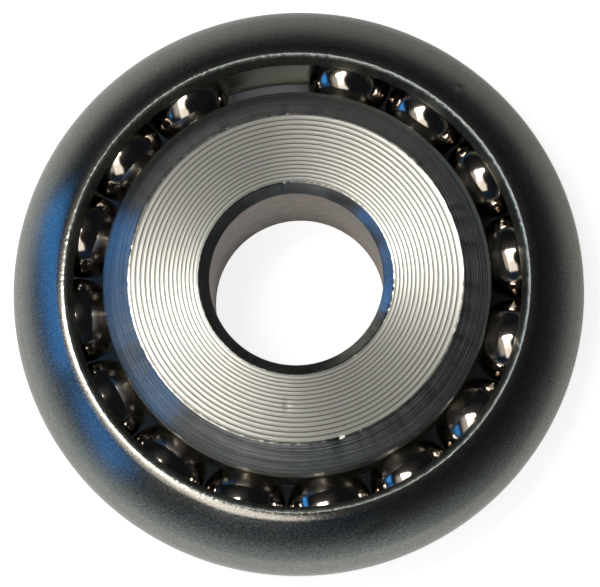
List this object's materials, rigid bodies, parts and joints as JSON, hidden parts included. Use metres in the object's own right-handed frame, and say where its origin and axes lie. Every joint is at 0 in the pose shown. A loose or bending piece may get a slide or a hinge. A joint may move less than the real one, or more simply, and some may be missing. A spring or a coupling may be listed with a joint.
{
  "type": "full-complement ball bearing",
  "caption": "Round steel ball bearing with a rounded outer ring, a wider turned inner ring with a plain bore, and a full row of loose balls with no cage.",
  "frame": {"origin": "on the axis of the bore, in the plane of the ball circle, halfway between the faces", "axes": "+Z along the bore axis; +Y towards the free gap in the row of balls"},
  "size_m": [0.0318, 0.0318, 0.0088],
  "materials": {
    "outer_ring": "satin, fine-grained tumbled steel",
    "inner_ring": "turned, with concentric tool grooves on the faces",
    "balls": "mirror-polished bearing steel"
  },
  "bodies": {
    "hub": {"inner_ring": "inner_ring"},
    "roller": {"outer_ring": "outer_ring"},
    "ball_set": {"ball_01": "balls", "ball_02": "balls", "ball_03": "balls", "ball_04": "balls", "ball_05": "balls", "ball_06": "balls", "ball_07": "balls", "ball_08": "balls", "ball_09": "balls", "ball_10": "balls", "ball_11": "balls", "ball_12": "balls", "ball_13": "balls", "ball_14": "balls", "ball_15": "balls"}
  },
  "joints": [
    {"name": "outer_roll", "type": "hinge", "parent": "hub", "child": "roller", "pos_m": [0, 0, 0], "axis": [0, 0, 1], "continuous": true},
    {"name": "ball_orbit", "type": "hinge", "parent": "hub", "child": "ball_set", "pos_m": [0, 0, 0], "axis": [0, 0, 1], "continuous": true}
  ],
  "couplings": [
    {"joint": "ball_orbit", "follows": "outer_roll", "ratio": 0.59669}
  ]
}
